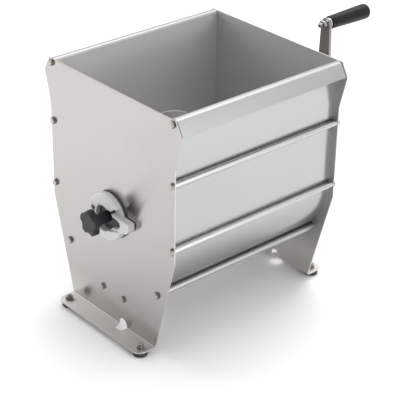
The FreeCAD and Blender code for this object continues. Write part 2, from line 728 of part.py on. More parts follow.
seal = cut(cyl(D["seal_out"], D["seal_deep"] - 0.2, 0, -D["seal_deep"], 0), cyl(D["seal_in"], 8, 0, -6, 0))
place(node("cap_seal", seal), 0, front_face, D["axis_z"])
grub = cut(fuse(cyl(4.5, 3.6, -27.7, -(D["cap_face"] - 1.4), 5.4), cyl(2.2, 4, -27.7, -(D["cap_face"] - 5), 5.4)),
           hexagon(2.5, 3.4, -27.7, -(D["cap_face"] - 1.4) - 1, 5.4))
place(node("cap_screw", grub), 0, front_face, D["axis_z"])

# ---------------------------------------------------------------- knob
knob = new_body("front_knob")
sk = new_sketch(knob, "knob_head", "XZ_Plane", D["knob_back"])
ring(sk, 0, 0, D["knob_size"])
pad(knob, sk, D["knob_front"] - D["knob_back"])
first = 55
sk = new_sketch(knob, "knob_scallop", "XZ_Plane", D["knob_back"] - 1)
ring(sk, 29.4 * cosd(first), 29.4 * sind(first), 13.0)
cutter = pocket(knob, sk, D["knob_front"] - D["knob_back"] + 4, reverse=True)
polar(knob, [cutter], 5)
fillet(knob, lambda p0, p1, mid, e: abs(p0.y - p1.y) > 5 and math.hypot(mid.x, mid.z) > 18, 2.4)
fillet(knob, lambda p0, p1, mid, e: abs(mid.y + D["knob_front"].v) < 0.01, 2.2)
fillet(knob, lambda p0, p1, mid, e: abs(mid.y + D["knob_back"].v) < 0.01, 1.6)
neck_end = D["insert_front"] + 0.4
sk = new_sketch(knob, "knob_neck", "XZ_Plane", neck_end)
ring(sk, 0, 0, D["knob_neck"])
pad(knob, sk, D["knob_back"] - neck_end + 1)
sk = new_sketch(knob, "knob_bore", "XZ_Plane", 0)
ring(sk, 0, 0, D["pivot_size"])
pocket(knob, sk, D["knob_front"] - 3, reverse=True)
place(knob, 0, front_face, D["axis_z"])

pivot = fuse(cyl(D["pivot_size"], D["knob_front"] - 3 + 25, 0, -(D["knob_front"] - 3), 0),
             cone(D["pivot_size"], D["pivot_size"] - 1.2, 1.5, 0, 25, 0))
place(node("pivot_screw", pivot), 0, front_face, D["axis_z"])

# ---------------------------------------------------------------- paddle
# Tubular-ended shaft; its front socket runs on the pivot screw, its rear
# socket slides over the square of the drive shaft.
shaft = new_body("paddle_shaft")
sk = new_sketch(shaft, "shaft_round", "XZ_Plane", -D["shaft_front"])
ring(sk, 0, 0, D["shaft_size"])
pad(shaft, sk, D["shaft_back"] - D["shaft_front"], reverse=True)
sk = new_sketch(shaft, "shaft_socket", "XZ_Plane", -D["shaft_front"])
ring(sk, 0, 0, 8.0)
pocket(shaft, sk, 22)
sk = new_sketch(shaft, "shaft_square", "XZ_Plane", -D["shaft_back"])
rectangle(sk, -7, -7, 7, 7)
pocket(shaft, sk, 24, reverse=True)
fillet(shaft, lambda p0, p1, mid, e: hasattr(e.Curve, "Radius") and abs(e.Curve.Radius - 12.5) < 0.05
       and (abs(mid.y - 150) < 0.05 or abs(mid.y + 156) < 0.05), 1.5, "PartDesign::Chamfer")
place(shaft, 0, 0, D["axis_z"])

bush = cut(cyl(8.0, 18, 0, 0, 0), cyl(D["pivot_size"] + D["running"], 20, 0, -1, 0))
place(node("paddle_bush", bush), 0, D["shaft_front"], D["axis_z"])

# Four blades with rounded tips, each on a round arm; local frame of one blade: arm along +Z
stations = [(-112.0, 9.5), (-34.0, 99.5), (40.0, 279.5), (112.0, 189.5)]
blade_raw = common(cube(D["blade_thk"], D["blade_wide"], D["blade_reach"] - D["blade_root"] + 5,
                        -D["blade_thk"] / 2, -D["blade_wide"] / 2, D["blade_root"]),
                   cyl(D["blade_round"], 20, -10, 0, D["blade_reach"] - D["blade_round"], Rotation(Vector(0, 1, 0), 90)))
blade_tilt = doc.addObject("App::Link", "blade_tilt")
blade_tilt.LinkedObject = blade_raw
blade_tilt.LinkTransform = True
blade_tilt.Placement = Placement(Vector(0, 0, 0), Rotation(Vector(0, 0, 1), D["blade_turn"].v))
blade_tilt.setExpression("Placement.Rotation.Angle", D["blade_turn"].s)
blade = common(blade_tilt, cyl(D["blade_reach"] + 1, 120, 0, -60, 0))
arm = cut(cut(cyl(D["arm_size"], D["blade_reach"] - 22, 0, 0, 0, Rotation()), cyl(D["shaft_size"], 60, 0, -30, 0)), blade)
blade_spots = []
for y, ang in stations:
    # arm direction at angle ang from +X towards +Z
    blade_spots.append((0, y, 0, Rotation(Vector(0, 1, 0), 90 - ang)))
g = group("paddle_arms", arm, blade_spots)
place(g, 0, 0, D["axis_z"])
g = group("paddle_blades", blade, blade_spots)
place(g, 0, 0, D["axis_z"])

# ---------------------------------------------------------------- rear bearing
# Local origin: shaft axis at the rear plate's outer face, +y outwards.
housing = new_body("rear_bearing")
sk = new_sketch(housing, "housing_profile", "XY_Plane")
outline(sk, [(D["bush_size"], -7), (32, -7), (32, -D["plate_thk"]), (D["housing_size"], -D["plate_thk"]),
             (D["housing_size"], D["case_plate"]), (D["bush_size"], D["case_plate"])])
revolve(housing, sk)
fillet(housing, circle_at(-7, 32), 1.5)
sk = new_sketch(housing, "housing_holes", "XZ_Plane", 0)
for a in (90, 210, 330):
    ring(sk, 27 * cosd(a), 27 * sind(a), 2.5)
pocket(housing, sk, 30, midplane=True)
place(housing, 0, rear_face, D["axis_z"])
rear_bush = cut(cyl(D["bush_size"], 11, 0, -5, 0), cyl(D["drive_size"] + D["running"], 13, 0, -6, 0))
place(node("rear_bush", rear_bush), 0, rear_face, D["axis_z"])
rear_seal = cut(cyl(D["bush_size"], 2, 0, -7, 0), cyl(D["drive_size"] + 0.3, 4, 0, -8, 0))
place(node("rear_seal", rear_seal), 0, rear_face, D["axis_z"])
screw = cut(fuse(cone(3.6, 4.6, 2.6, 0, -9.6, 0), cyl(2.5, 12, 0, -7, 0)),
            hexagon(1.9, 2, 0, -10, 0))
place(group("bearing_screws", screw, [(27 * cosd(a), 0, 27 * sind(a), None) for a in (90, 210, 330)]),
      0, rear_face, D["axis_z"])

# ---------------------------------------------------------------- gear case
gear_plate = new_body("gear_plate")
sk = new_sketch(gear_plate, "gear_plate_outline", "XZ_Plane")
hull_of_two(sk, D["case_big"], D["case_small"], D["crank_x"], D["crank_rise"])
pad(gear_plate, sk, D["case_plate"], reverse=True)
sk = new_sketch(gear_plate, "gear_plate_holes", "XZ_Plane")
ring(sk, 0, 0, D["housing_size"])
ring(sk, D["crank_x"], D["crank_rise"], 10)
for a in (90, 210, 330):
    ring(sk, 27 * cosd(a), 27 * sind(a), 2.5)
cover_marks = [(82.3 * cosd(a), 82.3 * sind(a)) for a in (128, 189, 250, 311)]
cover_marks += [(D["crank_x"] + 39.8 * cosd(a), D["crank_rise"] + 39.8 * sind(a)) for a in (5, 85)]
for x, z in cover_marks:
    ring(sk, x, z, 2.5)
pocket(gear_plate, sk, D["case_plate"] * 3, midplane=True)
place(gear_plate, 0, rear_face, D["axis_z"])

cover = new_body("gear_cover")
sk = new_sketch(cover, "cover_flange", "XZ_Plane", -D["case_plate"])
hull_of_two(sk, D["case_big"], D["case_small"], D["crank_x"], D["crank_rise"])
pad(cover, sk, D["case_thk"], reverse=True)
sk = new_sketch(cover, "cover_shell", "XZ_Plane", -D["case_plate"])
hull_of_two(sk, D["case_big"] - D["case_lip"], D["case_small"] - D["case_lip"], D["crank_x"], D["crank_rise"])
pad(cover, sk, D["case_deep"] - D["case_plate"], reverse=True)
fillet(cover, lambda p0, p1, mid, e: abs(mid.y - D["case_deep"].v) < 0.01, 4.0)
sk = new_sketch(cover, "cover_hollow", "XZ_Plane", -D["case_plate"])
hull_of_two(sk, D["case_big"] - D["case_lip"] - D["case_thk"], D["case_small"] - D["case_lip"] - D["case_thk"],
            D["crank_x"], D["crank_rise"])
pocket(cover, sk, D["case_deep"] - D["case_plate"] - D["case_thk"])
sk = new_sketch(cover, "cover_boss", "XZ_Plane", -(D["case_deep"] - D["case_thk"]))
ring(sk, D["crank_x"], D["crank_rise"], 15)
pad(cover, sk, 7, reverse=True)
sk = new_sketch(cover, "cover_holes", "XZ_Plane", 0)
ring(sk, D["crank_x"], D["crank_rise"], 11)
for x, z in cover_marks:
    ring(sk, x, z, 2.5)
pocket(cover, sk, 100, midplane=True)
place(cover, 0, rear_face, D["axis_z"])

cover_screw = cut(fuse(cyl(2.5, 7.5, 0, 0.6, 0), common(cyl(3.9, 2.8, 0, 8, 0), cone(4.9, 2.9, 2.8, 0, 8, 0))),
                  hexagon(1.7, 2, 0, 9.2, 0))
place(group("cover_screws", cover_screw, [(x, 0, z, None) for x, z in cover_marks]), 0, rear_face, D["axis_z"])

plate_bush = cut(cyl(10, D["case_plate"], 0, 0, 0), cyl(7 + D["running"], 20, 0, -5, 0))
place(node("plate_bush", plate_bush), D["crank_x"], rear_face, crank_z)
crank_bush = cut(cyl(11, 7, 0, D["case_deep"] - D["case_thk"], 0), cyl(8 + D["running"], 30, 0, 10, 0))
place(node("crank_bush", crank_bush), D["crank_x"], rear_face, crank_z)


# ---------------------------------------------------------------- gears
def gear_outline(teeth, module, phase, thin):
    """Involute spur gear outline in the XZ plane; phase is the direction of one tooth, in degrees."""
    rp = 0.5 * module * teeth
    ra, rf = rp + module, rp - 1.25 * module
    alpha = math.radians(20)
    rb = rp * math.cos(alpha)
    inv = math.tan(alpha) - alpha
    half_pitch_angle = (math.pi * module / 2 - thin) / (2 * rp)

    def flank(radius):
        if radius <= rb:
            return half_pitch_angle + inv
        a = math.acos(rb / radius)
        return half_pitch_angle + inv - (math.tan(a) - a)
    start = max(rb, rf)
    radii = [start + (ra - start) * t for t in (0.0, 0.12, 0.32, 0.55, 0.78, 1.0)]
    pts = []
    for k in range(teeth):
        c = math.radians(phase) + 2 * math.pi * k / teeth
        left, right = [], []
        if rf < rb:
            left.append((rf, -flank(rb)))
            right.append((rf, flank(rb)))
        for r in radii:
            left.append((r, -flank(r)))
            right.append((r, flank(r)))
        for r, a in left + right[::-1]:
            pts.append(Vector(r * math.cos(c + a), 0, r * math.sin(c + a)))
    pts.append(pts[0])
    return Part.makePolygon(pts)


module = sheet.get("gear_mod")
n_big, n_small = int(sheet.get("gear_teeth")), int(sheet.get("pinion_teeth"))
dx, dz = sheet.get("crank_x"), sheet.get("crank_rise")
wide, start_y = sheet.get("gear_wide"), sheet.get("gear_start")
line = math.degrees(math.atan2(dz, dx))
assert abs(math.hypot(dx, dz) - module * (n_big + n_small) / 2) < 0.01


def spur(name, teeth, phase, bore_shape, recess):
    face = Part.Face(gear_outline(teeth, module, phase, 0.13))
    solid = face.extrude(Vector(0, wide, 0))
    solid.translate(Vector(0, start_y, 0))
    solid = solid.cut(bore_shape)
    if recess:
        r_out, r_in, deep = recess
        for y in (start_y, start_y + wide - deep):
            dish = Part.makeCylinder(r_out, deep, Vector(0, y, 0), Vector(0, 1, 0))
            dish = dish.cut(Part.makeCylinder(r_in, deep, Vector(0, y, 0), Vector(0, 1, 0)))
            solid = solid.cut(dish)
    f = doc.addObject("Part::Feature", "Gear_" + name)
    f.Shape = solid
    return node(name, f)


drive_r = sheet.get("drive_size")
bore_big = Part.makeCylinder(drive_r, 40, Vector(0, -5, 0), Vector(0, 1, 0)).fuse(
    Part.makeBox(6, 40, 6, Vector(-3, -5, drive_r - 3)))
big = spur("drive_gear", n_big, line, bore_big, (54, 20, 3))
place(big, 0, rear_face, D["axis_z"])
bore_small = Part.makeCylinder(8, 40, Vector(0, -5, 0), Vector(0, 1, 0)).fuse(
    Part.makeBox(5, 40, 5, Vector(-2.5, -5, 8 - 2.5)))
small = spur("pinion", n_small, line + 180 + 180.0 / n_small, bore_small, None)
place(small, D["crank_x"], rear_face, crank_z)

# ---------------------------------------------------------------- drive shaft
drive = new_body("drive_shaft")
sk = new_sketch(drive, "drive_round", "XZ_Plane", 15)
ring(sk, 0, 0, D["drive_size"])
pad(drive, sk, 35.5, reverse=True)
sk = new_sketch(drive, "drive_square", "XZ_Plane", 38.5)
rectangle(sk, -7, -7, 7, 7)
pad(drive, sk, 25, reverse=True)
sk = new_sketch(drive, "drive_keyway", "XZ_Plane", -D["gear_start"])
rectangle(sk, -3, D["drive_size"] - 3, 3, D["drive_size"] + 2)
pocket(drive, sk, D["gear_wide"])
sk = new_sketch(drive, "drive_groove_out", "XZ_Plane", -(D["gear_start"] + D["gear_wide"]))
ring(sk, 0, 0, D["drive_size"] + 3)
ring(sk, 0, 0, D["drive_size"] - 0.8)
pocket(drive, sk, 1.2)
place(drive, 0, rear_face, D["axis_z"])
key = cube(6, D["gear_wide"], 6, -3, D["gear_start"], D["drive_size"] - 3)
place(node("drive_key", key), -3, rear_face + D["gear_start"], D["axis_z"] + D["drive_size"] - 3)
clip = cut(cut(cyl(13, 1.2, 0, D["gear_start"] + D["gear_wide"], 0), cyl(D["drive_size"] - 0.8, 30, 0, 0, 0)),
           cube(5, 30, 20, -2.5, 0, -20))
place(node("drive_ring", clip), 0, rear_face, D["axis_z"])

# ---------------------------------------------------------------- crank
pshaft = new_body("pinion_shaft")
sk = new_sketch(pshaft, "pshaft_profile", "XY_Plane")
outline(sk, [(0, 0.5), (7, 0.5), (7, 6.6), (8, 6.6), (8, 34), (11, 34), (11, D["arm_front"]), (0, D["arm_front"])])
revolve(pshaft, sk)
sk = new_sketch(pshaft, "pshaft_square", "XZ_Plane", -(D["arm_front"] - 1))
rectangle(sk, -5.5, -5.5, 5.5, 5.5)
pad(pshaft, sk, D["arm_thk"] + 0.8, reverse=True)
sk = new_sketch(pshaft, "pshaft_thread", "XZ_Plane", -(D["arm_front"] + D["arm_thk"]))
ring(sk, 0, 0, 3.4)
pocket(pshaft, sk, 18, reverse=True)
sk = new_sketch(pshaft, "pshaft_keyway", "XZ_Plane", -D["gear_start"])
rectangle(sk, -2.5, 5.5, 2.5, 10)
pocket(pshaft, sk, D["gear_wide"])
place(pshaft, D["crank_x"], rear_face, crank_z)
pkey = cube(5, D["gear_wide"], 5)
place(node("pinion_key", pkey), D["crank_x"] - 2.5, rear_face + D["gear_start"], crank_z + 5.5)

arm_bar = new_body("crank_arm")
sk = new_sketch(arm_bar, "arm_outline", "XZ_Plane", -D["arm_front"])
beta = Q(math.degrees(math.acos((D["arm_low"].v - D["arm_high"].v) / D["crank_reach"].v)),
         "acos((%s - %s) / %s)" % (D["arm_low"].s, D["arm_high"].s, D["crank_reach"].s))
upright = Q(90, "90 deg")
up, low = upright + beta, upright - beta
outline(sk, [(D["arm_low"] * cosd(up), D["arm_low"] * sind(up)), (D["arm_low"] * cosd(low), D["arm_low"] * sind(low)),
             (D["arm_high"] * cosd(low), D["crank_reach"] + D["arm_high"] * sind(low)),
             (D["arm_high"] * cosd(up), D["crank_reach"] + D["arm_high"] * sind(up))],
        {0: (0, 0, D["arm_low"], True), 2: (0, D["crank_reach"], D["arm_high"], True)})
pad(arm_bar, sk, D["arm_thk"], reverse=True)
sk = new_sketch(arm_bar, "arm_square", "XZ_Plane", 0)
rectangle(sk, -5.5, -5.5, 5.5, 5.5)
pocket(arm_bar, sk, 200, midplane=True)
sk = new_sketch(arm_bar, "arm_hole", "XZ_Plane", 0)
ring(sk, 0, D["crank_reach"], D["grip_stud"])
pocket(arm_bar, sk, 200, midplane=True)
fillet(arm_bar, lambda p0, p1, mid, e: (abs(mid.y - D["arm_front"].v) < 0.01 or abs(mid.y - D["arm_front"].v - D["arm_thk"].v) < 0.01)
       and math.hypot(mid.x, mid.z) > 9 and math.hypot(mid.x, mid.z - D["crank_reach"].v) > 6, 0.6)
place(arm_bar, D["crank_x"], rear_face, crank_z)

arm_back = D["arm_front"] + D["arm_thk"]
cwash = cut(cyl(11, 1.8, 0, arm_back, 0), cyl(3.4, 40, 0, 30, 0))
place(node("crank_washer", cwash), D["crank_x"], rear_face, crank_z)
cscrew = fuse(common(hexagon(7.5, 5.3, 0, arm_back + 1.8, 0), cone(10, 6.2, 5.3, 0, arm_back + 1.8, 0)),
              cyl(3.4, 17, 0, arm_back + 2 - 17, 0))
place(node("crank_screw", cscrew), D["crank_x"], rear_face, crank_z)

# grip stud: rounded end and nut on the tank side, collar and grip behind
gs = D["grip_stud"]
gstud = fuse(cyl(gs, D["grip_start"] + 64 - 31.5, 0, 31.5, 0), cone(gs - 1.6, gs, 1.8, 0, 29.7, 0))
place(node("grip_stud", gstud), D["crank_x"], rear_face, grip_z)
gnut = cut(common(common(hexagon(7.5, 6.5, 0, D["arm_front"] - 8.1, 0), cone(6.1, 10.5, 6.5, 0, D["arm_front"] - 8.1, 0)),
                  cone(10.5, 6.6, 6.5, 0, D["arm_front"] - 8.1, 0)), cyl(gs, 60, 0, 10, 0))
place(node("grip_nut", gnut), D["crank_x"], rear_face, grip_z)
gwash = cut(cyl(8.2, 1.6, 0, D["arm_front"] - 1.6, 0), cyl(gs, 60, 0, 10, 0))
place(node("grip_washer", gwash), D["crank_x"], rear_face, grip_z)
gcollar = cut(cyl(8.8, 2.2, 0, arm_back, 0), cyl(gs, 60, 0, 30, 0))
place(node("grip_collar", gcollar), D["crank_x"], rear_face, grip_z)

grip = new_body("grip")
sk = new_sketch(grip, "grip_profile", "XY_Plane")
g0, g1 = D["grip_start"], D["grip_end"]
outline(sk, [(gs + D["running"], g0), (D["grip_near"], g0), (D["grip_near"], g0 + 5.2), (D["grip_near"] - 0.7, g0 + 5.2),
             (D["grip_near"] - 0.7, g0 + 6.2), (D["grip_near"], g0 + 6.2), (D["grip_far"], g1 - 16),
             (D["grip_far"], g1), (0, g1), (0, g0 + 66), (gs + D["running"], g0 + 66)])
revolve(grip, sk)
fillet(grip, circle_at(g1, D["grip_far"]), 4.5)
fillet(grip, circle_at(g0, D["grip_near"]), 0.8)
place(grip, D["crank_x"], rear_face, grip_z)

# ---------------------------------------------------------------- checks and export
doc.recompute()
problems = []
for obj in doc.Objects:
    if "Invalid" in obj.State or "Error" in obj.State:
        problems.append("%s is in error" % obj.Name)
for name, obj in PARTS:
    shape = obj.Shape
    if shape.isNull() or not shape.isValid() or shape.Volume <= 0:
        problems.append("%s has no valid shape" % name)
if problems:
    raise RuntimeError("; ".join(problems))

os.makedirs("parts", exist_ok=True)
for name, obj in PARTS:
    obj.Shape.exportStep("parts/%s.step" % name)
    box = obj.Shape.BoundBox
    print("%-18s %2d solids %10.0f mm3  x %7.1f %7.1f  y %7.1f %7.1f  z %6.1f %6.1f" % (
        name, len(obj.Shape.Solids), obj.Shape.Volume, box.XMin, box.XMax, box.YMin, box.YMax, box.ZMin, box.ZMax))
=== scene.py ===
import math

import bmesh
import bpy
from mathutils import Matrix, Vector


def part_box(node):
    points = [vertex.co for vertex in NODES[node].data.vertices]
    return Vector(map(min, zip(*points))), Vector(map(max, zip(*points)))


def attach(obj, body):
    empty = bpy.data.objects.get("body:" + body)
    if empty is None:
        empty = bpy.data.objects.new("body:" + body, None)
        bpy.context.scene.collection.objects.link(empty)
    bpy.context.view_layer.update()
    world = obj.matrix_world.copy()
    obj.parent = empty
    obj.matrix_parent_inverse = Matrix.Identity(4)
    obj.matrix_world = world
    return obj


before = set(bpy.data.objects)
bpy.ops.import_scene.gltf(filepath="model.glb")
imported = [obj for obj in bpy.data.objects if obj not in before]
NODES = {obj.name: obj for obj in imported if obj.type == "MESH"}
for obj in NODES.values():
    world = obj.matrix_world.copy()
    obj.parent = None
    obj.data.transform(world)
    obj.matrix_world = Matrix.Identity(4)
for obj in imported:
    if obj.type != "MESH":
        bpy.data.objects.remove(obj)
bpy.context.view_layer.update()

scene = bpy.context.scene
scene.view_settings.view_transform = "Standard"
scene.view_settings.look = "None"


# ---------------------------------------------------------------- node helpers
class Graph:
    """A material's node tree, with short calls for the nodes used here."""

    def __init__(self, name):
        self.mat = bpy.data.materials.new(name)
        self.mat.use_nodes = True
        self.t = self.mat.node_tree
        self.t.nodes.clear()
        self.out = self.t.nodes.new("ShaderNodeOutputMaterial")
        self.bsdf = self.t.nodes.new("ShaderNodeBsdfPrincipled")
        self.t.links.new(self.bsdf.outputs[0], self.out.inputs["Surface"])
        tc = self.t.nodes.new("ShaderNodeTexCoord")
        self.obj = tc.outputs["Object"]
        self.nor = tc.outputs["Normal"]

    def link(self, a, b):
        self.t.links.new(a, b)

    def node(self, kind, **values):
        n = self.t.nodes.new(kind)
        for k, v in values.items():
            setattr(n, k, v)
        return n

    def mapped(self, scale, rot=(0, 0, 0), loc=(0, 0, 0)):
        m = self.node("ShaderNodeMapping")
        m.inputs["Scale"].default_value = scale
        m.inputs["Rotation"].default_value = rot
        m.inputs["Location"].default_value = loc
        self.link(self.obj, m.inputs["Vector"])
        return m.outputs[0]

    def noise(self, vec, scale=1.0, detail=4.0, rough=0.55, distort=0.0):
        n = self.node("ShaderNodeTexNoise")
        n.inputs["Scale"].default_value = scale
        n.inputs["Detail"].default_value = detail
        n.inputs["Roughness"].default_value = rough
        n.inputs["Distortion"].default_value = distort
        self.link(vec, n.inputs["Vector"])
        return n.outputs[0]

    def remap(self, value, a, b, c, d):
        n = self.node("ShaderNodeMapRange")
        n.inputs["From Min"].default_value = a
        n.inputs["From Max"].default_value = b
        n.inputs["To Min"].default_value = c
        n.inputs["To Max"].default_value = d
        self.link(value, n.inputs["Value"])
        return n.outputs[0]

    def math(self, op, a, b=None):
        n = self.node("ShaderNodeMath", operation=op)
        for i, v in enumerate((a, b)):
            if v is None:
                continue
            if hasattr(v, "default_value") or hasattr(v, "is_output"):
                self.link(v, n.inputs[i])
            else:
                n.inputs[i].default_value = v
        return n.outputs[0]

    def mix(self, fac, a, b):
        n = self.node("ShaderNodeMix", data_type="RGBA")
        ins = [s for s in n.inputs if s.enabled]
        for s, v in zip(ins, (fac, a, b)):
            if hasattr(v, "is_output"):
                self.link(v, s)
            else:
                s.default_value = v
        return [o for o in n.outputs if o.enabled][0]

    def bump(self, height, strength, distance, normal=None):
        n = self.node("ShaderNodeBump")
        n.inputs["Strength"].default_value = strength
        n.inputs["Distance"].default_value = distance
        self.link(height, n.inputs["Height"])
        if normal is not None:
            self.link(normal, n.inputs["Normal"])
        return n.outputs[0]

    def dot(self, a, b):
        n = self.node("ShaderNodeVectorMath", operation="DOT_PRODUCT")
        for i, v in enumerate((a, b)):
            if hasattr(v, "is_output"):
                self.link(v, n.inputs[i])
            else:
                n.inputs[i].default_value = v
        return n.outputs["Value"]

    def inner(self, side):
        """1 on the faces that look into the tank, 0 on the others.

        side is a plate's inward direction, or None for the wrapper, whose inner faces look at the shaft axis.
        """
        if side is not None:
            return self.remap(self.dot(self.nor, side), 0.2, 0.6, 0.0, 1.0)
        flat = self.node("ShaderNodeVectorMath", operation="MULTIPLY_ADD")
        self.link(self.obj, flat.inputs[0])
        flat.inputs[1].default_value = (1.0, 0.0, 1.0)
        flat.inputs[2].default_value = (0.0, 0.0, -0.197)
        return self.remap(self.dot(self.nor, flat.outputs[0]), -0.02, 0.02, 1.0, 0.0)

    def bevel(self, radius, samples=4):
        n = self.node("ShaderNodeBevel")
        n.samples = samples
        n.inputs["Radius"].default_value = radius
        return n.outputs[0]


def rgba(c, f=1.0):
    return (min(1, c[0] * f), min(1, c[1] * f), min(1, c[2] * f), 1.0)


def steel(name, base, rough, grain, spread=0.08, rough_spread=0.06, bump=0.10, blotch=0.05, bevel=0.0005,
          smear=0.05, depth=0.0001, aniso=0.0, across=None, inside=False, inward=None, in_base=None, in_rough=0.6,
          sides=None, flank=None, under=None, rim=None, leg=None):
    """Brushed or satin steel. grain holds the streak frequencies along X, Y and Z, per metre.

    across is the direction square to the grain, in which the finish spreads a reflection: an axis letter stands
    for round that axis, and a vector for itself. inside gives the faces that look into the tank a roughness of
    their own and the lighter in_base colour, which is painted light that brightens the inside of the tank. sides
    gives the faces that stand square to an axis a colour of their own: painted shade on the side faces of bolts,
    nuts and washers, and a lighter tone on the edges of the crank arm. flank gives the flange and the cut edges
    of an end plate their own roughness and a lighter colour, and lightens the plate towards its foot: painted
    light over the shade on the flange and at the foot. under darkens the faces that look down with painted
    shade, and rim roughens the sheet where it is folded over at the top and darkens it there with painted shade.
    leg lightens the inner face below the tank with painted light.
    """
    g = Graph(name)
    b = g.bsdf
    b.inputs["Metallic"].default_value = 1.0
    if across:
        b.inputs["Anisotropic"].default_value = aniso
        if isinstance(across, str):
            t = g.node("ShaderNodeTangent", direction_type="RADIAL", axis=across)
            g.link(t.outputs[0], b.inputs["Tangent"])
        else:
            b.inputs["Anisotropic Rotation"].default_value = 0.25
            v = g.node("ShaderNodeVectorTransform", vector_type="VECTOR", convert_from="OBJECT", convert_to="WORLD")
            v.inputs[0].default_value = across
            g.link(v.outputs[0], b.inputs["Tangent"])
    streak = g.noise(g.mapped(grain), 1.0, 5.0, 0.65)
    coarse = g.noise(g.mapped(tuple(v * 0.18 for v in grain)), 1.0, 3.0, 0.5)
    cloud = g.noise(g.mapped((7.0, 7.0, 5.0)), 1.0, 3.0, 0.5, 0.4)
    touch = g.noise(g.mapped((21.0, 24.0, 19.0), loc=(3.1, 1.7, 0.4)), 1.0, 6.0, 0.62, 0.8)
    both = g.math("ADD", g.math("MULTIPLY", streak, 0.62), g.math("MULTIPLY", coarse, 0.38))
    tone = g.math("ADD", g.math("MULTIPLY", both, spread * 2.0), g.math("MULTIPLY", cloud, blotch * 2.0))
    fac = g.remap(tone, 0.30 * (spread + blotch) * 2, 0.70 * (spread + blotch) * 2, 0.0, 1.0)
    k = spread + blotch
    colour = g.mix(fac, rgba(base, 1.0 - k), rgba(base, 1.0 + k * 0.6))
    r1 = g.remap(both, 0.3, 0.7, rough - rough_spread, rough + rough_spread)
    # painted light: the faces that look into the tank take the lighter in_base colour, which brightens the inside of
    # the tank; their roughness is their own
    if inside:
        at = g.inner(inward)
        ib = in_base or base
        colour = g.mix(at, colour, g.mix(fac, rgba(ib, 1.0 - k), rgba(ib, 1.0 + k * 0.6)))
        r1 = g.math("ADD", r1, g.math("MULTIPLY", at, in_rough - rough))
    # painted light: the inner face below the tank takes the lighter leg colour
    if leg:
        below = g.math("MULTIPLY", at, g.remap(g.dot(g.obj, (0.0, 0.0, 1.0)), 0.055, 0.105, 1.0, 0.0))
        colour = g.mix(below, colour, g.mix(fac, rgba(leg, 1.0 - k), rgba(leg, 1.0 + k * 0.6)))
    # painted shade: the faces that look down take the darker under colour
    if under:
        down = g.remap(g.dot(g.nor, (0.0, 0.0, -1.0)), 0.05, 0.50, 0.0, 1.0)
        colour = g.mix(down, colour, g.mix(fac, rgba(under, 1.0 - k), rgba(under, 1.0 + k * 0.6)))
    # painted light: the flange and the cut edges take the lighter flank colour, and the plate is lightened towards
    # its foot over the shade there; the roughness change is the finish's own
    if flank:
        lb, lr = flank
        foot = g.remap(g.math("ABSOLUTE", g.dot(g.nor, (0.0, 1.0, 0.0))), 0.30, 0.88, 1.0, 0.0)
        colour = g.mix(foot, colour, g.mix(fac, rgba(lb, 1.0 - k), rgba(lb, 1.0 + k * 0.6)))
        r1 = g.math("ADD", r1, g.math("MULTIPLY", foot, lr - rough))
        low = g.remap(g.dot(g.obj, (0.0, 0.0, 1.0)), 0.016, 0.060, 0.85, 0.0)
        colour = g.mix(low, colour, g.mix(fac, rgba(lb, 0.97 - k), rgba(lb, 0.97 + k * 0.6)))
    # the rim roughens the fold at the top of the sheet; its darker tone there is painted shade
    if rim:
        z0, z1, extra, tone = rim
        top = g.remap(g.dot(g.obj, (0.0, 0.0, 1.0)), z0, z0 + 0.006, 0.0, 1.0)
        if inside:
            top = g.math("MULTIPLY", top, g.math("SUBTRACT", 1.0, at))
        colour = g.mix(top, colour, g.mix(fac, rgba(tone, 1.0 - k), rgba(tone, 1.0 + k * 0.6)))
        r1 = g.math("ADD", r1, g.remap(g.dot(g.obj, (0.0, 0.0, 1.0)), z0, z1, 0.0, extra))
    # sides: on bolts, nuts and washers the darker low colour is painted shade on their side faces; on the crank arm
    # the low colour is a lighter tone on its edges
    if sides:
        axis, low = sides
        flat = g.math("ABSOLUTE", g.dot(g.nor, axis))
        colour = g.mix(g.remap(flat, 0.25, 0.85, 0.0, 1.0), rgba(low), colour)
    g.link(colour, b.inputs["Base Color"])
    r2 = g.remap(touch, 0.52, 0.72, 0.0, smear)
    g.link(g.math("ADD", r1, r2), b.inputs["Roughness"])
    n = g.bevel(bevel) if bevel else None
    g.link(g.bump(both, bump, depth, n), b.inputs["Normal"])
    return g.mat


def plastic(name, base, rough, grain=1800.0, bump=0.12, tone=0.06, bevel=0.0006, dust=None, spec=0.5, wear=0.10):
    g = Graph(name)
    b = g.bsdf
    b.inputs["Specular IOR Level"].default_value = spec
    fine = g.noise(g.mapped((grain, grain, grain)), 1.0, 3.0, 0.6)
    cloud = g.noise(g.mapped((38.0, 38.0, 38.0), loc=(0.3, 0.9, 0.1)), 1.0, 4.0, 0.55, 0.3)
    scuff = g.noise(g.mapped((160.0, 60.0, 210.0), rot=(0.4, 0.7, 0.2)), 1.0, 5.0, 0.7, 1.2)
    base_mix = g.mix(g.remap(cloud, 0.35, 0.65, 0.0, 1.0), rgba(base, 1.0 - tone), rgba(base, 1.0 + tone))
    worn = g.remap(scuff, 0.60, 0.78, 0.0, wear)
    light = tuple(min(1.0, c * 0.6 + 0.4 * (dust or 0.5)) for c in base)
    g.link(g.mix(worn, base_mix, rgba(light)), b.inputs["Base Color"])
    g.link(g.math("ADD", g.remap(cloud, 0.35, 0.65, rough - 0.04, rough + 0.04),
                  g.remap(scuff, 0.5, 0.75, -0.03, 0.10)), b.inputs["Roughness"])
    g.link(g.bump(fine, bump, 0.00008, g.bevel(bevel) if bevel else None), b.inputs["Normal"])
    return g.mat


MATS = {}


def give(node, mat):
    ob = NODES[node]
    if not ob.material_slots:
        ob.data.materials.append(mat)
    for s in ob.material_slots:
        s.link = "OBJECT"
        s.material = mat
